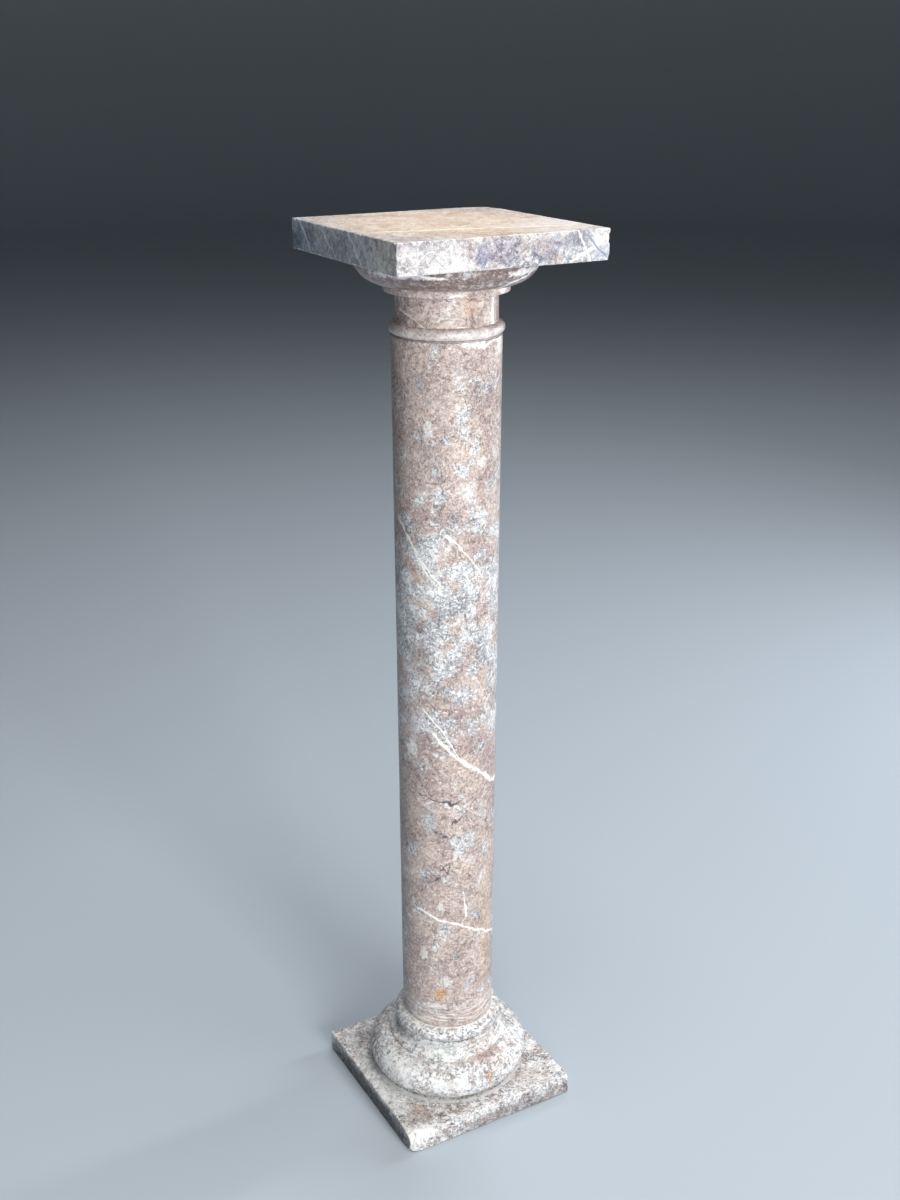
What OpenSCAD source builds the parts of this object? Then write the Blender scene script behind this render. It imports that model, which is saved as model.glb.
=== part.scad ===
// Doric pedestal column: five stones stacked on a square plinth.
// Origin at the centre of the underside, +Z up, slab edges along X and Y.

/* [Shaft] */
// Radius of the shaft, from which every moulding is measured
shaft_r = 59; // [45:0.5:75]
// Length of the shaft
shaft_l = 870; // [500:5:1200]

/* [Base moulding] */
// How far the torus stands out from the shaft
torus_out = 46; // [40:0.5:56]
// Height of the torus
torus_h = 49; // [40:0.5:60]
// Height of the fillet above the torus
lower_fillet_h = 3.5; // [2:0.5:6]
// How far the scotia, the hollow between the two fillets, runs in
scotia_run = 11; // [6:0.5:16]
// Height of the scotia
scotia_h = 16; // [11:0.5:22]
// How far the fillet above the scotia stands out from the shaft
upper_fillet_out = 6.5; // [4:0.5:9]
// Height of the fillet above the scotia
upper_fillet_h = 3; // [2:0.5:5]
// How far the bead under the shaft stands out from the shaft
bead_out = 11; // [9:0.5:16]
// Height of the bead under the shaft
bead_h = 19; // [14:0.5:24]
// How far the lip at the foot of the shaft stands out from the shaft
lip_out = 1.5; // [0.5:0.25:4]
// Height of the lip at the foot of the shaft
lip_h = 1.5; // [1:0.25:3]

/* [Plinth] */
// How far the plinth runs past the torus on each side
plinth_margin = 15; // [4:0.5:40]
// Thickness of the plinth
plinth_h = 30; // [20:0.5:50]

/* [Capital] */
// How far the seat on the shaft stands back from the shaft
seat_back = 1.5; // [0.5:0.25:4]
// Height of the seat, which shows as the open joint line
seat_h = 1; // [0.5:0.25:3]
// How far the astragal stands out from the shaft
astragal_out = 2.5; // [1:0.5:7]
// Height of the astragal
astragal_h = 12.5; // [9:0.5:16]
// How far the neck stands back from the shaft
neck_back = 4.5; // [1:0.5:10]
// Height of the neck
neck_h = 30.5; // [20:0.5:45]
// How far the annulet stands out from the shaft
annulet_out = 7.5; // [4:0.5:12]
// Height of the annulet
annulet_h = 7; // [4:0.5:10]
// How far the echinus swells out from the annulet
echinus_run = 32.5; // [25:0.5:40]
// Height of the echinus
echinus_h = 27; // [22:0.5:34]

/* [Abacus] */
// How far the top slab runs past the echinus on each side
abacus_margin = 19.5; // [4:0.5:40]
// Thickness of the top slab
abacus_h = 30; // [20:0.5:50]

/* [Arris] */
// Width of the flat worn along every slab edge
arris = 1.5; // [0.5:0.25:4]

/* [Hidden] */
$fn = 96;

// radii, largest first in the base and from the neck outwards in the capital
torus_r = shaft_r + torus_out;
upper_fillet_r = shaft_r + upper_fillet_out;
lower_fillet_r = upper_fillet_r + scotia_run;
bead_r = shaft_r + bead_out;
neck_r = shaft_r - neck_back;
astragal_r = shaft_r + astragal_out;
annulet_r = shaft_r + annulet_out;
echinus_r = annulet_r + echinus_run;

// sides of the two slabs
plinth_side = 2 * (torus_r + plinth_margin);
abacus_side = 2 * (echinus_r + abacus_margin);

// levels inside the base moulding, counted from its own underside
lower_fillet_z = torus_h;
scotia_z = lower_fillet_z + lower_fillet_h;
upper_fillet_z = scotia_z + scotia_h;
bead_z = upper_fillet_z + upper_fillet_h;
lip_z = bead_z + bead_h;
base_h = lip_z + lip_h;

// levels inside the capital, counted from its own underside
astragal_z = seat_h;
neck_z = astragal_z + astragal_h;
annulet_z = neck_z + neck_h;
echinus_z = annulet_z + annulet_h;
capital_h = echinus_z + echinus_h;

// heights of the beds where one stone lies on the next
base_bed = plinth_h;
shaft_bed = base_bed + base_h;
capital_bed = shaft_bed + shaft_l;
abacus_bed = capital_bed + capital_h;

// radius of the arc that leaves its tangent by run after going along it by rise
function arc_r(run, rise) = (run * run + rise * rise) / (2 * run);

// Straight band of a turned stone, from the axis out to r
module fillet_band(r, z, h) translate([0, z]) square([r, h]);

// Band with a half-round edge that reaches out to r
module torus_band(r, z, h) {
    fillet_band(r - h / 2, z, h);
    translate([r - h / 2, z + h / 2]) circle(r = h / 2);
}

// Band hollowed from r_low at its foot to an upright edge at r_high
module scotia_band(r_low, r_high, z, h) {
    sweep = arc_r(r_low - r_high, h);
    difference() {
        fillet_band(r_low, z, h);
        translate([r_high + sweep, z + h]) circle(r = sweep);
    }
}

// Band that leaves r_low level at its foot and swells to r_high at its top
module echinus_band(r_low, r_high, z, h) {
    sweep = arc_r(h, r_high - r_low);
    fillet_band(r_low, z, h);
    intersection() {
        fillet_band(r_high, z, h);
        translate([r_low, z + sweep]) circle(r = sweep);
    }
}

// Rectangle with its four corners cut back by the arris
module eased_rect(w, h) {
    x = w / 2;
    y = h / 2;
    polygon([
        [arris - x, -y], [x - arris, -y], [x, arris - y], [x, y - arris],
        [x - arris, y], [arris - x, y], [-x, y - arris], [-x, arris - y]
    ]);
}

// Square slab, worn along every edge, with its underside at z = 0
module slab(side, h) {
    translate([0, 0, h / 2]) intersection() {
        linear_extrude(h, center = true) eased_rect(side, side);
        rotate([90, 0, 0]) linear_extrude(side, center = true) eased_rect(side, h);
        rotate([90, 0, 90]) linear_extrude(side, center = true) eased_rect(side, h);
    }
}

module plinth() {
    color([0.66, 0.61, 0.58]) slab(plinth_side, plinth_h);
}

module base_moulding() {
    color([0.72, 0.69, 0.64]) translate([0, 0, base_bed]) rotate_extrude() {
        torus_band(torus_r, 0, torus_h);
        fillet_band(lower_fillet_r, lower_fillet_z, lower_fillet_h);
        scotia_band(lower_fillet_r, upper_fillet_r, scotia_z, scotia_h);
        fillet_band(upper_fillet_r, upper_fillet_z, upper_fillet_h);
        torus_band(bead_r, bead_z, bead_h);
        fillet_band(shaft_r + lip_out, lip_z, lip_h);
    }
}

module shaft() {
    color([0.64, 0.55, 0.51]) translate([0, 0, shaft_bed]) cylinder(h = shaft_l, r = shaft_r);
}

module capital() {
    color([0.63, 0.54, 0.51]) translate([0, 0, capital_bed]) rotate_extrude() {
        fillet_band(shaft_r - seat_back, 0, seat_h);
        torus_band(astragal_r, astragal_z, astragal_h);
        fillet_band(neck_r, neck_z, neck_h);
        fillet_band(annulet_r, annulet_z, annulet_h);
        echinus_band(annulet_r, echinus_r, echinus_z, echinus_h);
    }
}

module abacus() {
    color([0.74, 0.69, 0.64]) translate([0, 0, abacus_bed]) slab(abacus_side, abacus_h);
}

plinth();
base_moulding();
shaft();
capital();
abacus();
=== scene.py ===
import random
from math import ceil, cos, hypot, pi, radians, sin, sqrt

import bmesh
import bpy
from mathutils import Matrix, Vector, noise
from mathutils.kdtree import KDTree


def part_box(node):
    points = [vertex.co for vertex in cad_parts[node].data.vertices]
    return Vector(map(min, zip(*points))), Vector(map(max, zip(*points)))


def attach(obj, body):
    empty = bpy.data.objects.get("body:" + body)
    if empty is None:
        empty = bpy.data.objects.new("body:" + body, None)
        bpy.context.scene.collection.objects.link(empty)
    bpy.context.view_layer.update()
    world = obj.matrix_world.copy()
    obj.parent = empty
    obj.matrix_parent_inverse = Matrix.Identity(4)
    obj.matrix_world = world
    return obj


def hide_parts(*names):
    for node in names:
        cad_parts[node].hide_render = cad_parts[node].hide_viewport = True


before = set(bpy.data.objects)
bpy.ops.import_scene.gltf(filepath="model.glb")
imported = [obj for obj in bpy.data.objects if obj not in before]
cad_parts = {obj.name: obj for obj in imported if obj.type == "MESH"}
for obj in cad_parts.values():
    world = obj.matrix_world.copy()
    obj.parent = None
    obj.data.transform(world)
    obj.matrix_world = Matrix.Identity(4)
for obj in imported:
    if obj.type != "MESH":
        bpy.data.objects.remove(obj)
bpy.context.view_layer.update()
mm = 0.001  # the frame is in metres, the marble is set in millimetres


# node helpers: an input is a socket to link or a plain value to set

def put(tree, kind, inputs, **settings):
    made = tree.nodes.new(kind)
    for name, value in settings.items():
        setattr(made, name, value)
    for key, value in inputs.items():
        if isinstance(value, bpy.types.NodeSocket):
            tree.links.new(value, made.inputs[key])
        else:
            made.inputs[key].default_value = value
    return made


def calc(tree, operation, first, second=0.0, third=0.0):
    return put(tree, "ShaderNodeMath", {0: first, 1: second, 2: third}, operation=operation).outputs[0]


def times(tree, first, second):
    return calc(tree, "MULTIPLY", first, second)


def vector(tree, operation, first, second=(0, 0, 0), third=(0, 0, 0), output=0):
    inputs = {0: first, 1: second, 2: third}
    return put(tree, "ShaderNodeVectorMath", inputs, operation=operation).outputs[output]


def ease(tree, value, start, end):  # 0 at start, 1 at end, eased between
    inputs = {"Value": value, "From Min": start, "From Max": end}
    return put(tree, "ShaderNodeMapRange", inputs, interpolation_type="SMOOTHSTEP").outputs[0]


def between(tree, value, low, high, soft):  # 1 from low to high, eased over soft at both ends
    foot = ease(tree, value, low - soft, low + soft)
    head = ease(tree, value, high + soft, high - soft)
    return times(tree, foot, head)


def partly(tree, mask, share):  # the mask only takes away this share
    return calc(tree, "MULTIPLY_ADD", mask, share, 1 - share)


def over(tree, mask, under, top, kind="MIX"):  # lay a colour over another
    top = top if isinstance(top, bpy.types.NodeSocket) else (*top, 1)
    inputs = {0: mask, 6: under, 7: top}
    return put(tree, "ShaderNodeMix", inputs, data_type="RGBA", blend_type=kind).outputs[2]


def cloudy(tree, point, size, detail, rough, swirl=0.0, output=0):  # noise, most of it 0.3 to 0.7
    inputs = {
        "Vector": point, "Scale": 1 / size, "Detail": detail, "Roughness": rough, "Distortion": swirl,
    }
    return put(tree, "ShaderNodeTexNoise", inputs).outputs[output]


def cells(tree, point, size, feature="F1", output=0):
    inputs = {"Vector": point, "Scale": 1 / size}
    return put(tree, "ShaderNodeTexVoronoi", inputs, feature=feature).outputs[output]


def cellPick(tree, point, size):  # one random number for each cell
    colour = cells(tree, point, size, output=1)
    return put(tree, "ShaderNodeSeparateColor", {0: colour}).outputs[0]


def ramp(tree, value, stops):
    made = put(tree, "ShaderNodeValToRGB", {0: value})
    band = made.color_ramp
    while len(band.elements) < len(stops):
        band.elements.new(0.5)
    for element, (place, colour) in zip(band.elements, stops):
        element.position = place
        element.color = (*colour, 1)
    return made.outputs[0]


# marble: layers of colour, all in millimetres of the stone itself

def veinMask(tree, point, parts, vein):  # a wavy plane through the stone, z = height + lean in x and y
    leanX, leanY = vein["lean"]
    level = calc(tree, "MULTIPLY_ADD", parts[0], -leanX, parts[2])
    level = calc(tree, "MULTIPLY_ADD", parts[1], -leanY, level)
    wave = cloudy(tree, point, 30, 5, 0.6)
    level = calc(tree, "MULTIPLY_ADD", wave, vein["wave"], level)
    middle = vein["height"] + vein["wave"] / 2
    away = calc(tree, "ABSOLUTE", calc(tree, "SUBTRACT", level, middle))
    away = times(tree, away, 1 / sqrt(1 + leanX ** 2 + leanY ** 2))
    swell = calc(tree, "POWER", times(tree, cloudy(tree, point, 9, 4, 0.7), 2.0), 3.0)
    halfWidth = times(tree, swell, vein["width"] / 2)
    line = ease(tree, away, halfWidth, times(tree, halfWidth, 0.3))
    centre, radius = vein["reach"]
    gap = vector(tree, "DISTANCE", point, centre, output=1)
    line = times(tree, line, ease(tree, gap, radius, radius * 0.75))
    return times(tree, line, vein.get("strength", 1.0))


def patchMask(tree, point, patch):  # a ragged ellipsoid, broken up by fine grit
    ragged = patch.get("ragged", 4.0)
    away = vector(tree, "SUBTRACT", point, patch["at"])
    away = vector(tree, "DIVIDE", away, patch["size"])
    away = vector(tree, "LENGTH", away, output=1)
    edge = cloudy(tree, point, patch.get("grain", 7), 6, 0.75)
    away = calc(tree, "MULTIPLY_ADD", edge, ragged, away)
    away = calc(tree, "SUBTRACT", away, ragged / 2)
    grit = ease(tree, cloudy(tree, point, 2.6, 4, 0.7, 1.0), 0.40, 0.56)
    grit = partly(tree, grit, patch.get("grit", 0.5))
    inside = times(tree, ease(tree, away, 1.3, 0.6), grit)
    return times(tree, inside, patch.get("strength", 1.0))


def bits(tree, point, size, share, more=0.0):  # ragged bits over about this share of the stone
    level = calc(tree, "ADD", cloudy(tree, point, size, 5, 0.72), more)
    noiseSpread = 0.17  # the noise keeps within about this of a half
    edge = 0.5 + noiseSpread * (1 - 2 * share)
    return ease(tree, level, edge, edge + 0.025)


def marble(name, look):
    material = bpy.data.materials.new(name)
    material.use_nodes = True
    tree = material.node_tree
    shader = tree.nodes["Principled BSDF"]
    shader.inputs["Specular IOR Level"].default_value = look["shine"]
    place = put(tree, "ShaderNodeTexCoord", {}).outputs["Object"]
    point = vector(tree, "MULTIPLY", place, (1 / mm,) * 3)
    parts = put(tree, "ShaderNodeSeparateXYZ", {0: point}).outputs
    block = vector(tree, "ADD", point, look["block"])  # each stone is cut from its own place
    stir = cloudy(tree, block, look["bendSize"], 3, 0.6, output=1)
    bent = vector(tree, "MULTIPLY_ADD", stir, (look["bend"],) * 3, block)

    # tone: fine curled grain on mottles on a slow drift
    tone = 0.5
    for size, detail, swirl, gain in look["grains"]:
        grain = cloudy(tree, bent, size, detail, 0.65, swirl)
        tone = calc(tree, "MULTIPLY_ADD", calc(tree, "SUBTRACT", grain, 0.5), gain, tone)

    # warm stone, turning cool and cloudy in places and in bands
    cool = cloudy(tree, block, look["coolSize"], 6, 0.65)
    for low, high, soft, rise in look.get("coolBands", []):
        band = between(tree, parts[2], low, high, soft)
        cool = calc(tree, "MULTIPLY_ADD", band, rise, cool)
    cool = ease(tree, cool, look["coolFrom"] - 0.06, look["coolFrom"] + 0.08)
    warmColour = ramp(tree, tone, look["warmTones"])
    coolColour = ramp(tree, tone, look["coolTones"])
    colour = over(tree, cool, warmColour, coolColour)

    # broken fragments, each a little lighter or darker
    fragment = cellPick(tree, bent, look["fragmentSize"])
    fragment = ramp(tree, fragment, [(0, (0.25,) * 3), (1, (0.75,) * 3)])
    colour = over(tree, look["fragment"], colour, fragment, "SOFT_LIGHT")

    # grey lumps, then pale crystals, most of them where the stone is cool
    lump = bits(tree, vector(tree, "ADD", block, (90, 0, 0)), look["lumpSize"], look["lump"])
    colour = over(tree, times(tree, lump, look["lumpCover"]), colour, look["lumpColour"])
    crystal = vector(tree, "ADD", bent, (0, 70, 0))
    crystal = bits(tree, crystal, look["crystalSize"], look["crystal"], times(tree, cool, 0.07))
    colour = over(tree, times(tree, crystal, look["crystalCover"]), colour, look["crystalColour"])

    # fine dark cracks
    crack = cells(tree, bent, look["crackSize"], "DISTANCE_TO_EDGE")
    crack = ease(tree, crack, look["crackWidth"], look["crackWidth"] * 0.3)
    cracked = ease(tree, cloudy(tree, block, look["crackedSize"], 4, 0.6), 0.53, 0.58)
    crack = times(tree, crack, cracked)
    colour = over(tree, times(tree, crack, look["crack"]), colour, look["crackColour"])

    # pale lime left in a ring where two stones meet
    if "ring" in look:
        radius, width, ringColour = look["ring"]
        reach = vector(tree, "LENGTH", vector(tree, "MULTIPLY", point, (1, 1, 0)), output=1)
        reach = calc(tree, "MULTIPLY_ADD", cloudy(tree, point, 9, 5, 0.7), width * 2, reach)
        reach = calc(tree, "ABSOLUTE", calc(tree, "SUBTRACT", reach, radius + width))
        patchy = ease(tree, cloudy(tree, point, 9, 6, 0.75), 0.34, 0.50)
        lime = times(tree, ease(tree, reach, width, width * 0.4), patchy)
        colour = over(tree, lime, colour, ringColour)

    # streaks that run round a turned stone
    if "streak" in look:
        flat = vector(tree, "MULTIPLY", block, (0.12, 0.12, 1.0))
        streak = ease(tree, cloudy(tree, flat, 2.4, 4, 0.6), 0.53, 0.6)
        streak = times(tree, streak, look["streak"])
        for low, high, soft in look["streakBands"]:
            mask = times(tree, streak, between(tree, parts[2], low, high, soft))
            colour = over(tree, mask, colour, look["streakColour"])

    # colour by height, broken up by grit: lime on a fillet, and on the echinus a band that is partly darker
    # stone, partly painted shade under the slab
    for band in look.get("bands", []):
        grit = ease(tree, cloudy(tree, block, 5, 5, 0.7, 1.0), 0.38, 0.55)
        mask = between(tree, parts[2], band["low"], band["high"], band["soft"])
        mask = times(tree, mask, partly(tree, grit, band["grit"]))
        colour = over(tree, times(tree, mask, band["strength"]), colour, band["colour"])

    # patches and veins; a patch keeps the grain of the stone it lies in
    grey = ramp(tree, tone, [(0.3, (0.12,) * 3), (0.7, (0.88,) * 3)])
    for patch in look.get("patches", []):
        grained = over(tree, patch.get("grained", 0.6), (*patch["colour"], 1), grey, "OVERLAY")
        colour = over(tree, patchMask(tree, point, patch), colour, grained)
    for vein in look.get("veins", []):
        veinColour = vein.get("colour", look["veinColour"])
        colour = over(tree, veinMask(tree, point, parts, vein), colour, veinColour)

    # rubbed and chipped stone, from the mesh's own record of what has gone
    worn = put(tree, "ShaderNodeAttribute", {}, attribute_name="worn").outputs["Fac"]
    worn = times(tree, ease(tree, worn, 0.05, 0.8), look["wornPale"])
    colour = over(tree, worn, colour, look["wornColour"])
    tree.links.new(colour, shader.inputs["Base Color"])

    # polish, duller where the stone is rubbed
    smudge = cloudy(tree, block, look["smudgeSize"], 5, 0.7)
    low, high = look["rough"]
    inputs = {"Value": smudge, "From Min": 0.3, "From Max": 0.7, "To Min": low, "To Max": high}
    gloss = put(tree, "ShaderNodeMapRange", inputs).outputs[0]
    gloss = calc(tree, "MULTIPLY_ADD", worn, 0.3, gloss)
    tree.links.new(gloss, shader.inputs["Roughness"])

    # relief: fine pits, the grain standing a little proud and the cracks sunk
    pits = ease(tree, cloudy(tree, point, look["pitSize"], 5, 0.7), 0.34, 0.48)
    relief = calc(tree, "MULTIPLY_ADD", tone, 0.5, pits)
    relief = calc(tree, "MULTIPLY_ADD", crack, -0.8, relief)
    inputs = {"Height": relief, "Strength": look["bump"], "Distance": look["pitDepth"] * mm}
    bump = put(tree, "ShaderNodeBump", inputs)
    tree.links.new(bump.outputs[0], shader.inputs["Normal"])
    return material


# mesh helpers

def arc(centreR, centreZ, radius, fromDeg, toDeg, steps):
    turns = [radians(fromDeg + (toDeg - fromDeg) * step / steps) for step in range(steps + 1)]
    return [(centreR + radius * cos(turn), centreZ + radius * sin(turn)) for turn in turns]


def filled(outline, longest):  # no stretch of the outline is longer than this
    points = [outline[0]]
    for (r0, z0), (r1, z1) in zip(outline, outline[1:]):
        steps = max(1, ceil(hypot(r1 - r0, z1 - z0) / longest))
        for step in range(1, steps + 1):
            points.append((r0 + (r1 - r0) * step / steps, z0 + (z1 - z0) * step / steps))
    return points


def spun(outline, steps):  # an outline of (r, z) in metres, turned right round the Z axis
    bm = bmesh.new()
    verts = [bm.verts.new((r, 0, z)) for r, z in outline]
    edges = [bm.edges.new(pair) for pair in zip(verts, verts[1:])]
    bmesh.ops.spin(bm, geom=verts + edges, axis=(0, 0, 1), cent=(0, 0, 0), angle=2 * pi,
                   steps=steps, use_merge=True)
    bmesh.ops.remove_doubles(bm, verts=bm.verts, dist=0.02 * mm)
    bmesh.ops.recalc_face_normals(bm, faces=bm.faces)
    return bm


def turned(outline, baseZ, steps, longest, soften):  # outline in mm above baseZ, soften in mm
    closed = [(0, outline[0][1]), *outline, (0, outline[-1][1])]  # from axis to axis
    bm = spun([(r * mm, baseZ + z * mm) for r, z in filled(closed, longest)], steps)
    sharp = radians(35)
    arrises = [edge for edge in bm.edges if edge.calc_face_angle(0) > sharp]
    bmesh.ops.bevel(bm, geom=arrises, offset=soften * mm, offset_type="OFFSET", segments=2,
                    profile=0.5, affect="EDGES", material=-1, clamp_overlap=True)
    return bm


def gather(value):  # closer together towards both ends of -1 to 1
    return 0.4 * value + 0.6 * sin(value * pi / 2)


def climb(edge):
    return abs(edge.verts[0].co.z - edge.verts[1].co.z)


def slab(low, high, across, up):  # a box cut fine, with this many cuts each way
    bm = bmesh.new()
    bmesh.ops.create_cube(bm, size=2)
    flat = [edge for edge in bm.edges if climb(edge) < 0.1]
    bmesh.ops.subdivide_edges(bm, edges=flat, cuts=across, use_grid_fill=True)
    upright = [edge for edge in bm.edges if climb(edge) > 0.1]
    bmesh.ops.subdivide_edges(bm, edges=upright, cuts=up)
    centre, half = (low + high) / 2, (high - low) / 2
    for vert in bm.verts:
        spread = Vector(gather(value) for value in vert.co)
        vert.co = centre + Vector(a * b for a, b in zip(spread, half))
    return bm


def noiseAt(point, size, seed):  # about -1 to 1
    return noise.noise(point / (size * mm) + Vector((seed, seed * 1.7, -seed)))


def rubSlab(bm, low, high, rub):  # edges rubbed round, more in some places than in others
    fullyWorn = 2.5 * mm  # stone rubbed back this far shows as worn all through
    worn = bm.verts.layers.float.new("worn")
    centre, half = (low + high) / 2, (high - low) / 2
    core = Vector(side - rub["most"] * mm for side in half)
    for vert in bm.verts:
        local = vert.co - centre
        nearest = Vector(max(-c, min(c, value)) for value, c in zip(local, core))
        outward = local - nearest
        if sum(abs(value) > 1e-7 for value in outward) < 2:  # on a flat face, clear of the edges
            continue
        unevenness = noiseAt(vert.co, 18, 3) + 0.6 * noiseAt(vert.co, 5, 8)
        radius = rub["least"] + rub["swing"] * max(0.0, unevenness)
        for corner, extra, span in rub["corners"]:
            spot = Vector(side * sign for side, sign in zip(half, corner))
            near = max(0.0, 1 - (local - spot).length / (span * mm))
            radius += extra * near * (1 + 0.4 * noiseAt(vert.co, 6, 5))
        radius = min(radius, rub["most"]) * mm
        direction = outward.normalized()
        moved = 0.0
        for _ in range(8):  # walk in to the rounded surface
            spot = local - direction * moved
            gap = Vector(abs(value) - side + radius for value, side in zip(spot, half))
            out = Vector(max(0.0, value) for value in gap).length - radius
            moved += out
        vert.co -= direction * moved
        vert[worn] = min(1.0, moved / fullyWorn)


def chip(bm, spots):  # rough bites: (centre, radius), both in metres
    worn = bm.verts.layers.float["worn"]
    bm.verts.ensure_lookup_table()
    finder = KDTree(len(bm.verts))
    for vert in bm.verts:
        finder.insert(vert.co, vert.index)
    finder.balance()
    for centre, radius in spots:
        for _, index, _ in finder.find_range(centre, radius * 1.3):
            vert = bm.verts[index]
            away = vert.co - centre
            ragged = 0.25 * noiseAt(vert.co, radius / mm * 0.45, radius * 3000)  # seeded by its size
            gone = radius * (1 + ragged) - away.length
            if gone > 0:
                vert.co += away.normalized() * gone
                vert[worn] = max(vert[worn], min(1.0, 1.6 * gone / radius))


def nicks(bm, low, high, cut):  # small chips along all twelve edges of a slab
    rng = random.Random(cut["seed"])
    centre, half = (low + high) / 2, (high - low) / 2
    spots = []
    for _ in range(cut["count"]):
        along = rng.choice((0, 0, 1, 1, 2))
        corner = [rng.choice((-1, 1)) for _ in range(3)]
        radius = cut["least"] * (cut["most"] / cut["least"]) ** rng.random() * mm
        outward = Vector(0 if axis == along else corner[axis] for axis in range(3))
        corner[along] = rng.uniform(-1, 1)
        spot = centre + Vector(a * b for a, b in zip(half, corner))
        spots.append((spot + outward * radius * rng.uniform(0.15, 0.45), radius))
    chip(bm, spots)


def waver(bm, size, amount):  # hand-finished faces aren't dead flat; stone only goes inwards
    bm.normal_update()
    moves = [(vert, (noiseAt(vert.co, size, 12) - 1) * 0.5 * amount * mm) for vert in bm.verts]
    for vert, move in moves:
        vert.co += vert.normal * move


def smoothMesh(bm, name):
    mesh = bpy.data.meshes.new(name)
    bm.to_mesh(mesh)
    bm.free()
    mesh.shade_smooth()
    return mesh


def placed(name, data):  # a new object in the scene
    item = bpy.data.objects.new(name, data)
    bpy.context.scene.collection.objects.link(item)
    return item


def finishPiece(bm, name, stone):  # keep inside the CAD box, then stand for its node
    low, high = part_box(stone["node"])
    bm.normal_update()
    for vert in bm.verts:
        vert.co = Vector(max(a, min(b, value)) for value, a, b in zip(vert.co, low, high))
    mesh = smoothMesh(bm, name)
    mesh.set_sharp_from_angle(angle=radians(50))
    mesh.materials.append(marble(stone["node"] + " marble", stone))
    piece = placed(name, mesh)
    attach(piece, "root")
    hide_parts(stone["node"])
    print("made", name, "with", len(mesh.polygons), "faces")


def makeSlab(name, stone):
    low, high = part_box(stone["node"])
    bm = slab(low, high, stone["across"], stone["up"])
    rubSlab(bm, low, high, stone["rub"])
    nicks(bm, low, high, stone["nicks"])
    finishPiece(bm, name, stone)


def makeTurned(name, stone):
    low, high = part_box(stone["node"])
    bm = turned(stone["outline"], low.z, stone["steps"], stone["spacing"], stone["soften"])
    waver(bm, *stone["waver"])
    finishPiece(bm, name, stone)


# what all the stones share, each stone then changes some of it: sizes in mm, shares from 0 to 1
quarry = {
    "bend": 7, "bendSize": 14,
    "grains": [(2.4, 4, 1.8, 1.6), (7, 5, 1.6, 0.9), (48, 3, 0.0, 0.6)],  # size, detail, swirl, gain
    "warmTones": [
        (0.24, (0.17, 0.13, 0.135)), (0.40, (0.34, 0.265, 0.255)),
        (0.54, (0.49, 0.395, 0.355)), (0.78, (0.72, 0.63, 0.565)),
    ],
    "coolTones": [
        (0.28, (0.15, 0.15, 0.165)), (0.42, (0.32, 0.325, 0.34)),
        (0.54, (0.52, 0.53, 0.55)), (0.70, (0.86, 0.87, 0.88)),
    ],
    "coolSize": 26, "coolFrom": 0.575,
    "fragmentSize": 3.5, "fragment": 0.5,
    "lumpSize": 11, "lump": 0.12, "lumpCover": 0.75, "lumpColour": (0.33, 0.33, 0.36),
    "crystalSize": 5, "crystal": 0.09, "crystalCover": 0.85, "crystalColour": (0.82, 0.81, 0.80),
    "crackSize": 42, "crackWidth": 0.02, "crack": 0.65, "crackColour": (0.15, 0.12, 0.125),
    "crackedSize": 28,
    "veinColour": (0.86, 0.84, 0.80),
    "wornPale": 0.6, "wornColour": (0.80, 0.78, 0.74),
    "rough": (0.25, 0.5), "smudgeSize": 22, "shine": 0.35,
    "bump": 0.35, "pitSize": 2.2, "pitDepth": 0.4,
}
white = (0.84, 0.84, 0.83)
greyBlue = (0.44, 0.46, 0.49)
soot = (0.10, 0.08, 0.085)
ochre = (0.55, 0.28, 0.07)


# plinth
plinth = {
    **quarry, "node": "plinth", "slot": "plinth_marble",
    "across": 140, "up": 22,
    "rub": {
        "least": 1.3, "swing": 2.8, "most": 16,
        "corners": [  # which corner, how much more is gone, how far along
            ((-1, -1, 1), 15, 34), ((-1, -1, -1), 4, 16),
            ((1, -1, 1), 4, 16), ((1, 1, -1), 3, 14),
        ],
    },
    "nicks": {"count": 150, "least": 1.2, "most": 4.0, "seed": 5},
    "block": (40, -70, 300), "bend": 9, "coolSize": 16, "coolFrom": 0.48,
    "grains": [(3.4, 5, 1.6, 2.3), (11, 4, 0.8, 0.8), (48, 3, 0.0, 0.5)],
    "warmTones": [
        (0.24, (0.13, 0.11, 0.12)), (0.42, (0.32, 0.27, 0.265)),
        (0.54, (0.48, 0.43, 0.41)), (0.74, (0.74, 0.72, 0.69)),
    ],
    # paler rubbed edges on the plinth: partly real wear, partly a painted highlight along its edges
    "crystal": 0.27, "crystalSize": 6, "crack": 0.5, "wornPale": 0.85,
    "ring": (98, 4.5, (0.84, 0.84, 0.82)),
    "patches": [
        {"at": (-90, -88, 30), "size": (15, 22, 8), "colour": (0.31, 0.225, 0.185),
         "strength": 0.8, "grit": 0.6},
        {"at": (-106, -10, 30), "size": (16, 84, 5), "colour": (0.64, 0.65, 0.64),
         "strength": 0.75, "grit": 0.4},
        {"at": (-102, -115, 26), "size": (26, 9, 10), "colour": white},
        {"at": (70, -100, 30), "size": (24, 22, 7), "colour": (0.55, 0.47, 0.44), "strength": 0.5},
        # painted shade: a near-black sheet down the plinth's shaded left side
        {"at": (-122, 0, 8), "size": (5, 160, 20), "colour": (0.04, 0.04, 0.055),
         "ragged": 1.5, "grit": 0.3, "grained": 0.3},
        # painted shade: darker along the lower half of the plinth's front side
        {"at": (40, -121, 5), "size": (120, 5, 15), "colour": (0.14, 0.115, 0.12),
         "strength": 0.7, "ragged": 3.0},
    ],
    "rough": (0.4, 0.65), "bump": 0.6,
}
makeSlab("worn_plinth", plinth)

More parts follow.
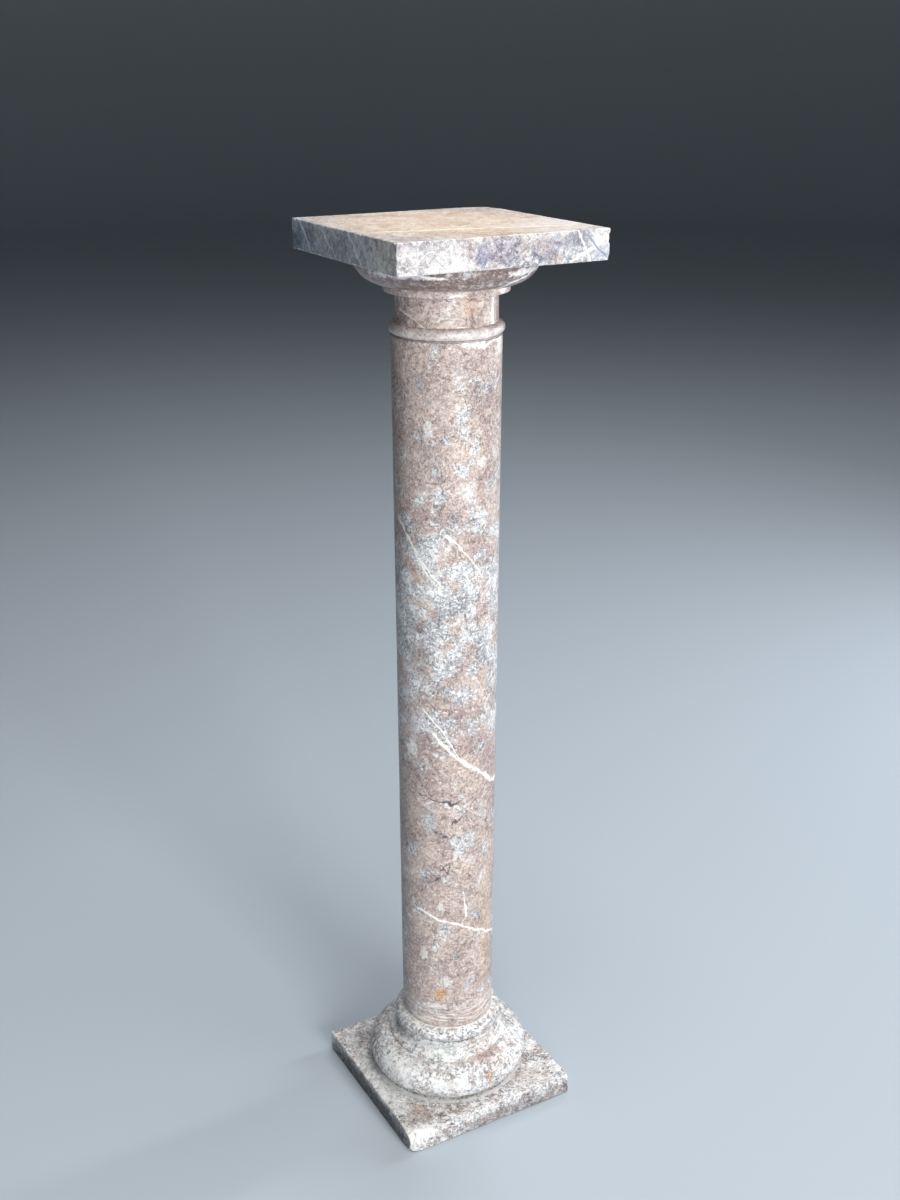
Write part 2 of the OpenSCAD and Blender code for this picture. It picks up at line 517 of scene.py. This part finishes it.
# base moulding
base = {
    **quarry, "node": "base_moulding", "slot": "base_marble",
    "outline": [
        *arc(80.5, 24.5, 24.5, -90, 90, 40),  # torus
        (76.5, 49), (76.5, 52.5),  # fillet
        *arc(82.55, 68.5, 17.05, 249, 180, 14), (65.5, 71.5),  # scotia
        (60.5, 71.5), *arc(60.5, 81, 9.5, -90, 90, 20), (60.5, 92),  # bead and lip
    ],
    "steps": 256, "spacing": 2.0, "soften": 0.7, "waver": (20, 0.3),
    "block": (-30, 20, -60), "bend": 9, "coolSize": 17, "coolFrom": 0.44,
    "grains": [(3.1, 5, 1.6, 2.2), (10, 4, 0.8, 0.8), (48, 3, 0.0, 0.5)],
    "warmTones": plinth["warmTones"], "crystal": 0.27, "crystalSize": 6, "crack": 0.5,
    "bands": [
        {"low": 120.5, "high": 124, "soft": 0.3, "colour": (0.80, 0.77, 0.70),
         "strength": 0.85, "grit": 0.5},
    ],
    "streak": 0.9, "streakColour": (0.76, 0.79, 0.77), "streakBands": [(80, 101, 3), (30, 38, 3)],
    "patches": [
        {"at": (0, 0, 91), "size": (80, 80, 8), "colour": (0.36, 0.34, 0.32), "strength": 0.55},
        {"at": (-40, -62, 92), "size": (34, 26, 8), "colour": (0.60, 0.65, 0.64), "strength": 0.5},
        {"at": (24, -66, 88), "size": (30, 20, 5), "colour": (0.44, 0.36, 0.30),
         "strength": 0.5, "ragged": 6.0},
        {"at": (-2, -70, 97), "size": (5, 5, 4), "colour": ochre, "strength": 0.7},
        {"at": (6, -100, 60), "size": (6, 6, 8), "colour": (0.62, 0.40, 0.16), "strength": 0.7},
        {"at": (-45, -84, 62), "size": (34, 18, 9), "colour": white, "strength": 0.7},
        {"at": (14, -80, 79), "size": (40, 12, 2.4), "colour": (0.36, 0.24, 0.20),
         "strength": 0.7, "ragged": 6.0},
        {"at": (20, -90, 72), "size": (22, 14, 7), "colour": (0.42, 0.31, 0.27),
         "strength": 0.5, "ragged": 7.0, "grit": 0.9},
        # partly white stone, partly painted light brightening the torus's left side
        {"at": (-88, -34, 62), "size": (20, 32, 14), "colour": white, "strength": 0.75, "grit": 0.7},
    ],
    "rough": (0.35, 0.6), "bump": 0.5,
}
makeTurned("turned_base", base)

# shaft
shaft = {
    **quarry, "node": "shaft", "slot": "shaft_marble",
    "outline": [(59, 0), (59, 870)],
    "steps": 200, "spacing": 3.0, "soften": 0.8, "waver": (60, 0.3),
    "block": (0, 0, 0),
    "coolBands": [(540, 610, 25, 0.09), (610, 770, 45, 0.12), (770, 850, 30, 0.05)],  # low, high, soft, rise
    "streak": 0.8, "streakColour": (0.80, 0.78, 0.74), "streakBands": [(122, 152, 8)],
    "patches": [
        {"at": (-51, -30, 950), "size": (5, 6, 9), "colour": (0.26, 0.26, 0.31),
         "ragged": 6.0, "grit": 0.9},
        {"at": (4, -59, 989), "size": (22, 12, 3.5), "colour": white, "ragged": 6.0},
        {"at": (38, -45, 984), "size": (10, 10, 9), "colour": white, "ragged": 6.0, "strength": 0.8},
        {"at": (-44, -39, 904), "size": (5, 5, 9), "colour": white, "strength": 0.8},
        {"at": (10, -58, 868), "size": (5, 5, 6), "colour": white,
         "ragged": 6.0, "strength": 0.7, "grit": 0.8},
        {"at": (-5, -59, 839), "size": (7, 7, 9), "colour": white,
         "ragged": 6.0, "strength": 0.7, "grit": 0.8},
        {"at": (-57, -15, 525), "size": (8, 9, 13), "colour": white},
        {"at": (-56, -18, 560), "size": (9, 13, 26), "colour": (0.42, 0.39, 0.40), "strength": 0.7},
        {"at": (-45, -38, 433), "size": (11, 11, 16), "colour": greyBlue, "strength": 0.6, "grit": 0.8},
        {"at": (-18, -56, 385), "size": (5, 5, 8), "colour": white, "strength": 0.7, "grit": 0.8},
        {"at": (14, -57, 440), "size": (5, 5, 12), "colour": greyBlue, "strength": 0.8},
        {"at": (-36, -47, 308), "size": (5, 5, 8), "colour": white, "strength": 0.7},
        {"at": (-51, -30, 232), "size": (6, 6, 8), "colour": white, "strength": 0.7},
        {"at": (-29, -51, 195), "size": (6, 6, 8), "colour": white, "strength": 0.7},
        {"at": (-2, -59, 185), "size": (6, 6, 8), "colour": greyBlue, "strength": 0.8},
        {"at": (-51, -30, 641), "size": (14, 14, 26), "colour": (0.30, 0.23, 0.22), "strength": 0.6},
        {"at": (9, -58, 735), "size": (8, 8, 10), "colour": (0.45, 0.36, 0.33),
         "strength": 0.6, "grit": 0.8},
        {"at": (22, -55, 260), "size": (7, 12, 80), "colour": (0.52, 0.37, 0.22), "strength": 0.45},
        {"at": (-37, -46, 174), "size": (6, 6, 10), "colour": ochre,
         "strength": 0.9, "ragged": 6.0, "grit": 0.8},
        {"at": (-40, -44, 154), "size": (22, 20, 4), "colour": white, "strength": 0.7},
    ],
    "veins": [
        {"height": 524, "lean": (-0.94, 0.37), "wave": 26, "width": 5.5, "reach": ((2, -59, 508), 76)},
        {"height": 492, "lean": (-1.8, 0), "wave": 20, "width": 2.2, "reach": ((-30, -51, 546), 50)},
        {"height": 268, "lean": (-0.56, -0.08), "wave": 22, "width": 3.6, "reach": ((18, -56, 266), 102)},
        {"height": 247, "lean": (-8, 0), "wave": 60, "width": 2.0, "reach": ((-8, -58, 311), 22)},
        {"height": 506, "lean": (0.5, 0.6), "wave": 50, "width": 2.6, "reach": ((-36, -46, 462), 30),
         "colour": soot},
        {"height": 470, "lean": (1.1, 0.3), "wave": 60, "width": 2.4, "reach": ((-8, -58, 440), 26),
         "colour": soot},
        {"height": 372, "lean": (-0.8, -0.5), "wave": 60, "width": 2.4, "reach": ((-26, -52, 425), 24),
         "colour": soot},
        {"height": 400, "lean": (0.7, 0.4), "wave": 70, "width": 2.4, "reach": ((-30, -50, 352), 26),
         "colour": soot},
        {"height": 754, "lean": (-0.77, 0.98), "wave": 26, "width": 3.0, "reach": ((-50, -28, 770), 52)},
        {"height": 744, "lean": (-0.9, 0.98), "wave": 40, "width": 2.4, "reach": ((-48, -34, 752), 44)},
        {"height": 724, "lean": (-1.27, -0.56), "wave": 20, "width": 2.3, "reach": ((-8, -58, 768), 38),
         "strength": 0.8},
    ],
}
makeTurned("veined_shaft", shaft)

# capital
capital = {
    **quarry, "node": "capital", "slot": "capital_marble",
    "outline": [
        (57.5, 0), (57.5, 1), *arc(55.25, 7.25, 6.25, -90, 90, 14),  # astragal
        (54.5, 13.5), (54.5, 44),  # neck
        (66.5, 44), (66.5, 51),  # fillet
        *arc(66.5, 84.06, 33.06, -90, -10.6, 30),  # echinus
    ],
    "steps": 256, "spacing": 1.8, "soften": 0.6, "waver": (20, 0.2),
    "block": (10, 35, -20),
    "grains": [(3.4, 4, 1.2, 1.0), (12, 4, 1.0, 0.7), (48, 3, 0.0, 0.5)],
    "warmTones": [
        (0.24, (0.18, 0.13, 0.13)), (0.42, (0.38, 0.30, 0.285)),
        (0.54, (0.54, 0.45, 0.41)), (0.78, (0.76, 0.69, 0.64)),
    ],
    "coolFrom": 0.63, "crystal": 0.07, "lump": 0.06,
    "bands": [
        # painted shade: the echinus under the slab darkened, partly darker stone as well
        {"low": 1044, "high": 1075, "soft": 1.5, "colour": (0.12, 0.075, 0.07),
         "strength": 0.85, "grit": 0.5},
        {"low": 992, "high": 1003, "soft": 3, "colour": (0.74, 0.71, 0.69),
         "strength": 0.5, "grit": 0.8},
    ],
    "patches": [
        {"at": (36, -80, 1061), "size": (34, 24, 4), "colour": (0.86, 0.82, 0.82),
         "strength": 0.9, "grit": 0.3},
        # painted highlight: a bluish-white reflection along the top of the echinus's left side
        {"at": (-74, -45, 1061), "size": (34, 30, 3.5), "colour": (0.72, 0.74, 0.80),
         "strength": 0.9, "ragged": 5.0},
        {"at": (-30, -76, 1063), "size": (16, 16, 4), "colour": (0.72, 0.71, 0.74),
         "strength": 0.85, "ragged": 6.0},
        {"at": (8, -78, 1051), "size": (34, 12, 2.5), "colour": (0.62, 0.56, 0.53),
         "strength": 0.7, "ragged": 5.0},
        {"at": (-3, -54, 1027), "size": (9, 9, 11), "colour": (0.60, 0.40, 0.27), "strength": 0.55},
        {"at": (0, -61, 999), "size": (44, 12, 5), "colour": (0.78, 0.76, 0.74), "strength": 0.6},
    ],
    "veins": [
        {"height": 1050, "lean": (0.28, 0.10), "wave": 16, "width": 3.0, "reach": ((22, -80, 1054), 34)},
        {"height": 1058, "lean": (-0.05, 0.0), "wave": 10, "width": 2.6, "reach": ((-66, -60, 1058), 34)},
        {"height": 1044, "lean": (0.2, 0.0), "wave": 14, "width": 2.0, "reach": ((-30, -74, 1052), 24)},
        {"height": 1004, "lean": (-0.25, -0.1), "wave": 8, "width": 1.6, "reach": ((-25, -48, 1014), 22),
         "strength": 0.35},
        {"height": 938, "lean": (-1.5, 0.0), "wave": 10, "width": 1.6, "reach": ((-52, -18, 1016), 24),
         "strength": 0.6},
        {"height": 1034, "lean": (0.7, 0.0), "wave": 16, "width": 1.8, "reach": ((8, -54, 1036), 16),
         "colour": soot, "strength": 0.7},
    ],
    "rough": (0.10, 0.26), "shine": 0.5, "bump": 0.2,
}
makeTurned("turned_capital", capital)

# abacus
sideVeins = [  # slanting veins on the shaded side
    {"height": height, "lean": (0, lean), "wave": 26, "width": width, "colour": (0.78, 0.80, 0.82),
     "strength": 0.75, "reach": ((-118, along, 1085), 24)}
    for height, along, lean, width in (
        (993, 84, 1.1, 3.0), (1061, 30, 0.8, 2.0), (1125, -30, 1.3, 3.4),
    )
]
abacus = {
    **quarry, "node": "abacus", "slot": "abacus_marble",
    "across": 140, "up": 22,
    "rub": {
        "least": 0.8, "swing": 1.4, "most": 14,
        "corners": [((1, 1, 1), 9, 30), ((1, 1, -1), 9, 30)],
    },
    "nicks": {"count": 150, "least": 1.2, "most": 3.2, "seed": 8},
    "block": (70, 10, 90), "coolFrom": 0.49,
    "grains": [(3.2, 4, 1.6, 1.2), (12, 4, 1.6, 1.1), (60, 3, 0.0, 0.5)],
    "coolTones": [
        (0.22, (0.13, 0.145, 0.19)), (0.38, (0.28, 0.29, 0.34)),
        (0.52, (0.47, 0.475, 0.49)), (0.72, (0.68, 0.68, 0.675)),
    ],
    "warmTones": [
        (0.22, (0.17, 0.14, 0.17)), (0.38, (0.35, 0.30, 0.32)),
        (0.52, (0.50, 0.46, 0.455)), (0.74, (0.70, 0.67, 0.63)),
    ],
    "lump": 0.14, "lumpSize": 6, "lumpColour": (0.30, 0.31, 0.37), "crystal": 0.08, "crack": 0.6,
    "crackSize": 26,
    "patches": [
        # painted reflection: the whole top face tinted warm beige, standing in for a warm reflection in the
        # polished top
        {"at": (0, 0, 1101), "size": (150, 150, 2.2), "colour": (0.74, 0.59, 0.46),
         "strength": 0.85, "ragged": 0.5, "grit": 0.15},
        {"at": (100, -70, 1101), "size": (60, 62, 2.4), "colour": (0.80, 0.75, 0.72),
         "strength": 0.8, "ragged": 3.0, "grain": 22, "grit": 0.3},
        {"at": (-119, 0, 1085), "size": (6, 135, 26), "colour": (0.40, 0.43, 0.46),
         "strength": 0.8, "ragged": 1.5, "grit": 0.4},
        # painted shade: these three dark blue-grey patches darken the slab's shaded left side, darkest at
        # its far end
        {"at": (-119, 92, 1084), "size": (6, 34, 18), "colour": (0.14, 0.19, 0.25),
         "strength": 0.75, "ragged": 3.0},
        {"at": (-119, 112, 1078), "size": (6, 14, 12), "colour": (0.05, 0.09, 0.14), "strength": 0.8},
        {"at": (-119, 10, 1082), "size": (6, 34, 12), "colour": (0.22, 0.26, 0.32),
         "strength": 0.6, "ragged": 3.0},
        {"at": (-119, -96, 1086), "size": (6, 26, 18), "colour": (0.55, 0.52, 0.47),
         "strength": 0.7, "ragged": 3.0},
        {"at": (-84, -119, 1086), "size": (34, 6, 18), "colour": (0.56, 0.54, 0.54),
         "strength": 0.7, "ragged": 2.0, "grit": 0.35},
        {"at": (90, -119, 1088), "size": (24, 6, 13), "colour": (0.34, 0.33, 0.38), "strength": 0.6},
        {"at": (-28, -119, 1083), "size": (7, 6, 11), "colour": (0.13, 0.18, 0.27), "strength": 0.85},
        {"at": (-8, -119, 1085), "size": (28, 6, 11), "colour": (0.29, 0.24, 0.29), "strength": 0.6},
        {"at": (58, -119, 1089), "size": (20, 6, 9), "colour": (0.30, 0.29, 0.34), "strength": 0.6},
        {"at": (106, -119, 1088), "size": (14, 6, 6), "colour": (0.74, 0.75, 0.76), "strength": 0.8},
        {"at": (112, -119, 1078), "size": (14, 6, 9), "colour": (0.34, 0.37, 0.44), "strength": 0.7},
    ],
    "veins": [
        *sideVeins,
        {"height": 1239, "lean": (-1.75, 0), "wave": 16, "width": 3.0, "reach": ((86, -118, 1088), 26)},
        {"height": 1035, "lean": (0.49, 0), "wave": 8, "width": 3.4, "reach": ((98, -118, 1083), 30)},
        {"height": 1172, "lean": (-0.85, 0), "wave": 16, "width": 2.2, "reach": ((104, -118, 1084), 22),
         "colour": (0.24, 0.28, 0.36)},
        {"height": 1062, "lean": (0.4, 0), "wave": 16, "width": 2.0, "reach": ((60, -118, 1086), 26),
         "colour": (0.26, 0.28, 0.36)},
        {"height": 1032, "lean": (-0.65, 0), "wave": 20, "width": 1.6, "reach": ((-84, -118, 1086), 24),
         "colour": (0.32, 0.31, 0.35), "strength": 0.7},
        {"height": 2840, "lean": (6.3, 30), "wave": 500, "width": 9.0, "colour": (0.95, 0.87, 0.77),
         "reach": ((0, -56, 1100), 114)},
        {"height": -500, "lean": (9, -40), "wave": 700, "width": 8.0, "colour": (0.90, 0.80, 0.68),
         "reach": ((10, 45, 1100), 70)},
    ],
    "rough": (0.28, 0.48), "bump": 0.25,
}
makeSlab("top_slab", abacus)

# floor: a wide disc that turns up far away all round, in metres
ground = {
    "reach": 10, "curve": 5, "top": 45, "steps": 64,
    "floorColour": (0.42, 0.475, 0.53), "wallColour": (0.88, 0.90, 0.92),
    "rough": 0.85, "shine": 0.15,
}


def paint(name, look):  # floor colour low down, wall colour above the curve
    material = bpy.data.materials.new(name)
    material.use_nodes = True
    tree = material.node_tree
    shader = tree.nodes["Principled BSDF"]
    place = put(tree, "ShaderNodeTexCoord", {}).outputs["Object"]
    height = put(tree, "ShaderNodeSeparateXYZ", {0: place}).outputs[2]
    rising = ease(tree, height, 0, look["curve"])
    colour = over(tree, rising, (*look["floorColour"], 1), look["wallColour"])
    tree.links.new(colour, shader.inputs["Base Color"])
    shader.inputs["Roughness"].default_value = look["rough"]
    shader.inputs["Specular IOR Level"].default_value = look["shine"]
    return material


reach, curve = ground["reach"], ground["curve"]
upturn = arc(reach, curve, curve, -90, 0, 20)
groundShape = spun([(0, 0), *upturn, (reach + curve, ground["top"])], ground["steps"])
floor = placed("floor", smoothMesh(groundShape, "floor"))
floor.data.materials.append(paint("floor paint", ground))
print("floor laid")

# camera: on the bright corner of the slabs, looking down; angles in degrees, places in metres
view = {
    "turn": 29.4, "distance": 1.461, "height": 1.258, "down": 27.55, "aside": 0.14,
    "lens": 40.6, "sensor": 36, "rise": 0.127,
}
camera = placed("camera", bpy.data.cameras.new("camera"))
turn = radians(view["turn"])
camera.location = (-view["distance"] * sin(turn), -view["distance"] * cos(turn), view["height"])
camera.rotation_euler = (radians(90 - view["down"]), 0, -turn - radians(view["aside"]))
camera.data.lens = view["lens"]
camera.data.sensor_width = view["sensor"]
camera.data.shift_y = view["rise"]
bpy.context.scene.camera = camera
print("camera set")

# lights: soft boxes placed by their turn from the camera's side and their height, both in degrees
sunny = (1.0, 0.98, 0.95)
skyPale = (0.94, 0.97, 1.0)
softBoxes = {
    "key": {"turn": 30, "up": 14, "distance": 3.6, "size": (1.2, 1.6), "watts": 112, "colour": sunny},
    "front": {"turn": 8, "up": 8, "distance": 3.8, "size": (0.9, 1.8), "watts": 50, "colour": skyPale},
    "top": {"turn": 40, "up": 78, "distance": 3.0, "size": (1.6, 1.6), "watts": 72, "colour": sunny},
    "rim": {"turn": 120, "up": 12, "distance": 2.6, "size": (0.2, 1.4), "watts": 30,
            "colour": (0.92, 0.94, 1.0)},
    "back": {"turn": 165, "up": 52, "distance": 4.0, "size": (1.6, 1.5), "watts": 46, "colour": skyPale},
}
aim = Vector((0, 0, 0.6))  # the middle of the shaft
for name, setting in softBoxes.items():
    light = bpy.data.lights.new(name, "AREA")
    light.shape = "RECTANGLE"
    light.size, light.size_y = setting["size"]
    light.energy = setting["watts"]
    light.color = setting["colour"]
    box = placed(name, light)
    around, up = radians(setting["turn"] - view["turn"]), radians(setting["up"])
    direction = Vector((sin(around) * cos(up), -cos(around) * cos(up), sin(up)))
    box.location = aim + direction * setting["distance"]
    box.rotation_euler = direction.to_track_quat("Z", "Y").to_euler()
    box.visible_camera = False
room = {"colour": (0.80, 0.88, 1.0), "strength": 0.05}
world = bpy.data.worlds.new("room")
world.use_nodes = True
background = world.node_tree.nodes["Background"]
background.inputs["Color"].default_value = (*room["colour"], 1)
background.inputs["Strength"].default_value = room["strength"]
bpy.context.scene.world = world
bpy.context.scene.view_settings.view_transform = "Standard"
print("lights set")
